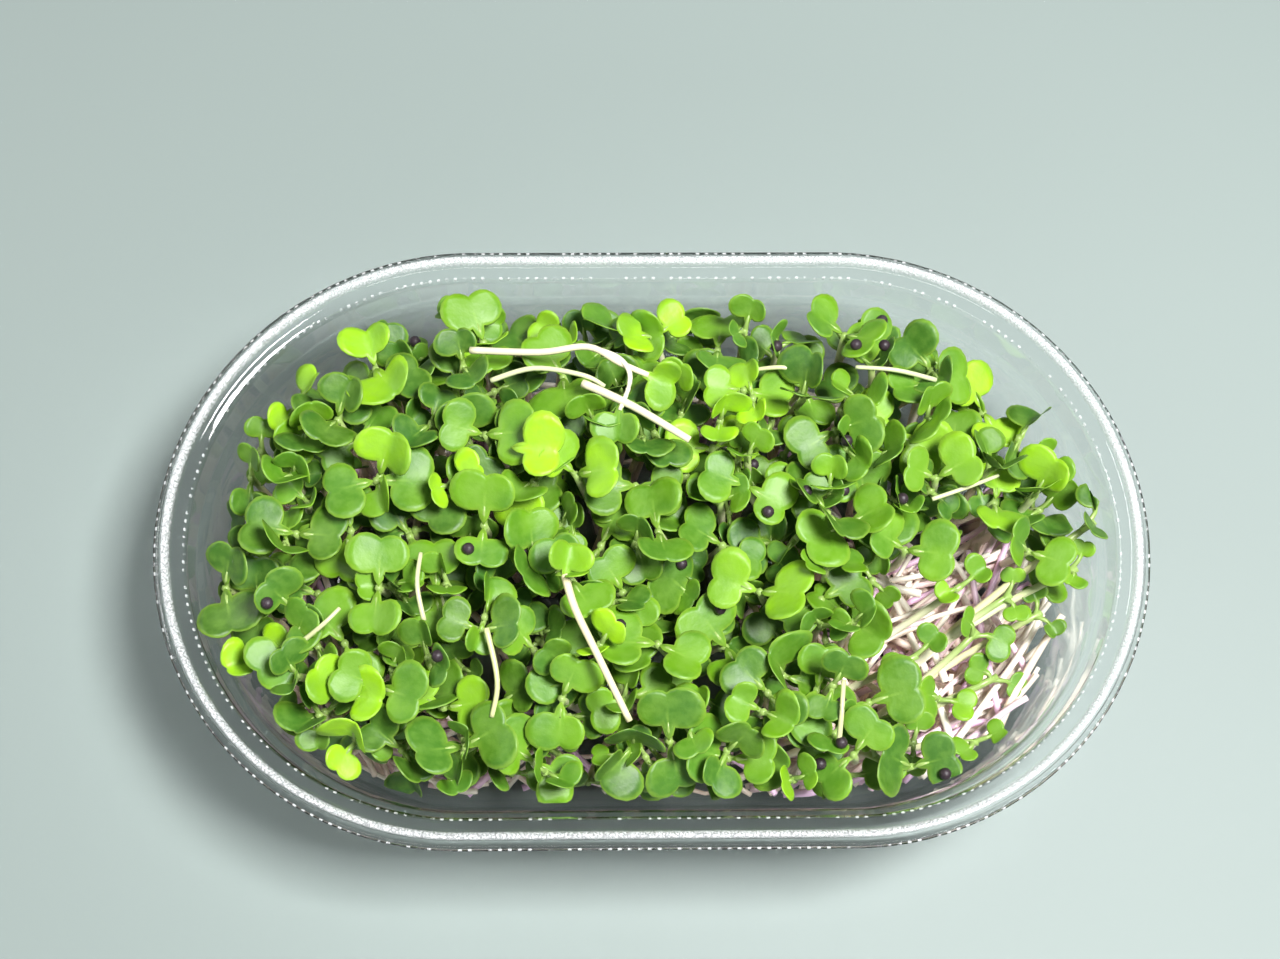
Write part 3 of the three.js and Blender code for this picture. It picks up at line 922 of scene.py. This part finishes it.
def leaf_material():
    leaf = Shader(
        "seed_leaf", Roughness=0.42, Specular_IOR_Level=0.4, Coat_Weight=0.16,
        Coat_Roughness=0.4,
    )
    tone = leaf.attribute("tone", "Fac")
    across, ahead, reach = leaf.parts(leaf.attribute("leaf", "Vector"))
    mottle = leaf.noise(520, 3.0)
    patch = leaf.noise(70, 2.0)
    deep = colour(0.036, 0.11, 0.004)
    fresh = colour(0.125, 0.3, 0.004)
    bright = colour(0.32, 0.62, 0.004)
    base = leaf.mix(tone.ramp(0.0, 0.6), deep, fresh)
    base = leaf.mix(tone.ramp(0.72, 1.0), base, bright)
    base = leaf.mix(patch.ramp(0.42, 0.62) * 0.55, base, colour(0.042, 0.15, 0.02))
    # Painted sheen: a paler greyish green over the middle of the lobes, away from the edge, where
    # the noise is low
    middle = patch.ramp(0.6, 0.3) * (1 - reach.ramp(0.3, 0.9))
    base = leaf.mix(middle * 0.3, base, colour(0.2, 0.36, 0.08))
    rib = 1 - across.absolute().ramp(0.0, 0.09)
    base = leaf.mix(rib * (1 - ahead.ramp(-0.4, 0.3)) * 0.28, base, colour(0.3, 0.5, 0.07))
    base = leaf.mix((1 - ahead.ramp(-1.0, -0.35)) * 0.4, base, colour(0.25, 0.42, 0.05))
    base = leaf.mix(reach.ramp(0.86, 1.0) * 0.42, base, colour(0.3, 0.5, 0.05))
    base = leaf.mix(mottle.ramp(0.35, 0.7) * 0.22, base, colour(0.2, 0.38, 0.05))
    leaf.feed("Base Color", base)
    leaf.feed("Roughness", 0.4 + 0.2 * mottle)
    leaf.bump(0.4, 0.0003, leaf.noise(650, 3.0))
    return leaf.material


def stem_material():
    stem = Shader("pale_stem", Roughness=0.34, Specular_IOR_Level=0.5)
    tone = stem.attribute("tone", "Fac")
    height = stem.parts(stem.attribute("leaf", "Vector"))[2]
    streak = stem.noise(240, 2.0)
    cream = stem.mix(tone, colour(0.88, 0.74, 0.46), colour(0.97, 0.92, 0.8))
    foot = stem.mix(tone.ramp(0.15, 0.4), colour(0.92, 0.6, 0.88), colour(1, 0.8, 0.68))
    foot = stem.mix(tone.ramp(0.5, 0.8), foot, colour(1, 0.92, 0.8))
    shade = stem.mix(height.ramp(0.15, 0.55), foot, cream)
    shade = stem.mix(height.ramp(0.6, 0.8) * 0.6, shade, colour(0.62, 0.68, 0.3))
    shade = stem.mix(height.ramp(0.82, 1.0) * 0.95, shade, colour(0.2, 0.37, 0.04))
    shade = stem.mix(streak * 0.2, shade, colour(0.8, 0.72, 0.52))
    stem.feed("Base Color", shade)
    stem.bump(0.15, 0.0003, stem.noise(700, 2.0))
    return stem.material


def husk_material():
    husk = Shader("seed_husk", Roughness=0.5)
    speck = husk.noise(1400, 2.0)
    husk.feed("Base Color", husk.mix(speck, colour(0.012, 0.009, 0.012), colour(0.05, 0.03, 0.04)))
    husk.bump(0.6, 0.0002, speck)
    return husk.material


def tray_material():
    tray = Shader(
        "clear_plastic", Base_Color=colour(0.975, 0.99, 0.985), Roughness=0.03,
        Transmission_Weight=1.0, IOR=1.5,
    )
    tray.bump(0.2, 0.0008, tray.noise(38, 2.0, Distortion=1.6))
    tray.feed("Roughness", 0.02 + 0.04 * tray.noise(90))

    x, y, z = tray.parts(tray.place())
    spine = x.clamped(-SPINE * MM, SPINE * MM)
    past = x - spine
    radius = (past * past + y * y) ** 0.5 * (1 / MM)
    turn = y.turn_from(past)
    run = (spine + turn * (BEAD_RADIUS * MM)) * (1 / MM)
    ticks = (run * TICKS).sine().ramp(0.2, 0.6)
    # Painted glints: noisy sparkle on the bead, and ticks that fade out at random
    sparkle = tray.noise(2600, 1.0).ramp(0.42, 0.66)
    ticks = ticks * tray.noise(420, 1.0).ramp(0.38, 0.56)
    bead = radius.band(BEAD_RADIUS - 0.3, 1.7) * (0.35 + 0.65 * sparkle)
    lip = radius.band(BEAD_RADIUS + LIP_OUT - 0.5, 0.45) * ticks
    seat = radius.band(BEAD_RADIUS - 3.3, 0.4) * ticks * 0.7
    high = z.ramp((TRAY_HEIGHT - 4.5) * MM, (TRAY_HEIGHT - 3.5) * MM)
    # Painted highlight over the rim's real frosted bead and moulded tick marks: a white, matt shader
    # mixed in near the top of the tray
    frost_and_highlight = (bead + lip + seat) * high * 0.65
    white = tray.node(
        "ShaderNodeBsdfPrincipled", {}, Base_Color=colour(0.95, 0.97, 0.98), Roughness=0.3
    )
    shown = tray.node("ShaderNodeMixShader", {}, frost_and_highlight, Value(tray, tray.surface.outputs[0]), white)
    out = tray.tree.nodes["Material Output"].inputs["Surface"]
    tray.tree.links.new(shown.socket, out)
    return tray.material


# Studio

def set_camera():
    elevation, yaw, roll = (math.radians(a) for a in (VIEW_ELEVATION, VIEW_YAW, VIEW_ROLL))
    ahead = Vector((
        math.sin(yaw) * math.cos(elevation), math.cos(yaw) * math.cos(elevation),
        -math.sin(elevation),
    ))
    level = Vector((math.cos(yaw), -math.sin(yaw), 0))
    up = level.cross(ahead)
    right = math.cos(roll) * level + math.sin(roll) * up
    top = -math.sin(roll) * level + math.cos(roll) * up
    data = bpy.data.cameras.new("camera")
    data.sensor_width = 36
    data.lens = FOCAL_PIXELS / PHOTO_WIDTH * data.sensor_width
    data.clip_start = 0.01
    camera = bpy.data.objects.new("camera", data)
    turn = Matrix((right, top, -ahead)).transposed().to_4x4()
    place = (Vector(VIEW_TARGET) - VIEW_DISTANCE * ahead) * MM
    camera.matrix_world = Matrix.Translation(place) @ turn
    bpy.context.scene.collection.objects.link(camera)
    bpy.context.scene.camera = camera


def add_light(name, place, size, power):
    data = bpy.data.lights.new(name, "AREA")
    data.shape = "RECTANGLE"
    data.size, data.size_y = size
    data.energy = power
    light = bpy.data.objects.new(name, data)
    light.location = place
    ahead = Vector(LIGHT_TARGET) - Vector(place)
    light.rotation_euler = ahead.to_track_quat("-Z", "Y").to_euler()
    bpy.context.scene.collection.objects.link(light)


def set_studio():
    bm = bmesh.new()
    bmesh.ops.create_grid(bm, x_segments=1, y_segments=1, size=3)
    mesh = bpy.data.meshes.new("studio_floor")
    bm.to_mesh(mesh)
    bm.free()
    floor = Shader("studio_floor", Base_Color=FLOOR_COLOUR, Roughness=0.6)
    mesh.materials.append(floor.material)
    ground = bpy.data.objects.new("studio_floor", mesh)
    bpy.context.scene.collection.objects.link(ground)
    world = bpy.data.worlds.new("studio")
    world.use_nodes = True
    sky = world.node_tree.nodes["Background"].inputs
    sky["Color"].default_value = SKY_COLOUR
    sky["Strength"].default_value = SKY_STRENGTH
    bpy.context.scene.world = world
    bpy.context.scene.view_settings.view_transform = "Standard"
    for name, (place, size, power) in LIGHTS.items():
        add_light(name, place, size, power)


def main():
    set_camera()
    sprouts, neighbours = lay_out()
    fills = long_seedlings(neighbours)
    fills += fill_in(sprouts, neighbours)
    greens = [leaf_material(), stem_material(), husk_material()]
    make_seedlings(sprouts, fills, greens)
    make_lying_stems(greens[1])
    make_stem_bed(greens[1])
    make_top_stems(greens)
    make_tray(tray_material())
    set_studio()


main()
